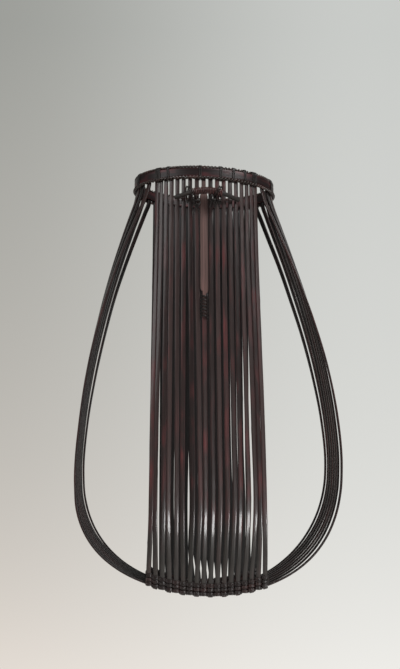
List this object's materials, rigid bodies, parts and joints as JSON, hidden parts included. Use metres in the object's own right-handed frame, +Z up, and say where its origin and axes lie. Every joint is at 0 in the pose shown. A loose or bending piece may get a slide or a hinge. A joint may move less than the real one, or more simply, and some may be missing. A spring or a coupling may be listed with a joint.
{
  "type": "hanging flower basket",
  "caption": "Tall openwork wall basket of dark lacquered bamboo strips, with a pear-shaped outline, an oval bound rim, a woven base and a wrapped hanging bow.",
  "frame": {"origin": "where a hook bears on the basket: under the middle of the wrapped hanging bow", "axes": "+Z up, +X to the right as seen from the wall side, +Y from the wall into the room; the side with the bow and the slip faces -Y, towards the wall"},
  "size_m": [0.2729, 0.1315, 0.4493],
  "materials": {
    "rib_bamboo": "split bamboo, stained brown black and lacquered, satin to semi-gloss, red brown where the stain is thin",
    "side_bamboo": "split bamboo, stained brown black and lacquered, semi-gloss along the rounded edges",
    "hoop_bamboo": "flat split bamboo, stained and lacquered, worn to a red brown on the flat",
    "cane": "thin split cane, stained brown black, semi-gloss",
    "wrapping_cane": "flat split cane, stained red brown, semi-gloss",
    "bow_bamboo": "bare bent bamboo, grey brown, satin",
    "slip_bamboo": "flat bamboo slip with its skin on, stained purple brown and lacquered, satin"
  },
  "bodies": {
    "root": {"rib_01": "rib_bamboo", "rib_02": "rib_bamboo", "rib_03": "rib_bamboo", "rib_04": "rib_bamboo", "rib_05": "rib_bamboo", "rib_06": "rib_bamboo", "rib_07": "rib_bamboo", "rib_08": "rib_bamboo", "rib_09": "rib_bamboo", "rib_10": "rib_bamboo", "rib_11": "rib_bamboo", "rib_12": "rib_bamboo", "rib_13": "rib_bamboo", "rib_14": "rib_bamboo", "rib_15": "rib_bamboo", "rib_16": "rib_bamboo", "rib_17": "rib_bamboo", "rib_18": "rib_bamboo", "side_strip_1": "side_bamboo", "side_strip_2": "side_bamboo", "side_strip_3": "side_bamboo", "side_strip_4": "side_bamboo", "side_strip_5": "side_bamboo", "side_strip_6": "side_bamboo", "side_strip_7": "side_bamboo", "side_strip_8": "side_bamboo", "rim_outer_hoop": "hoop_bamboo", "rim_inner_hoop": "hoop_bamboo", "rim_top_edging": "cane", "rim_lower_edging": "cane", "rim_tie_01": "cane", "rim_tie_02": "cane", "rim_tie_03": "cane", "rim_tie_04": "cane", "rim_tie_05": "cane", "rim_tie_06": "cane", "rim_tie_07": "cane", "rim_tie_08": "cane", "rim_tie_09": "cane", "rim_tie_10": "cane", "rim_tie_11": "cane", "rim_tie_12": "cane", "rim_tie_13": "cane", "rim_tie_14": "cane", "bow": "bow_bamboo", "bow_wrapping": "wrapping_cane", "bow_tie_left": "cane", "bow_tie_right": "cane", "slip": "slip_bamboo", "slip_lashing": "cane", "base_twine_near_1": "cane", "base_twine_near_2": "cane", "base_twine_far_1": "cane", "base_twine_far_2": "cane"}
  },
  "joints": []
}
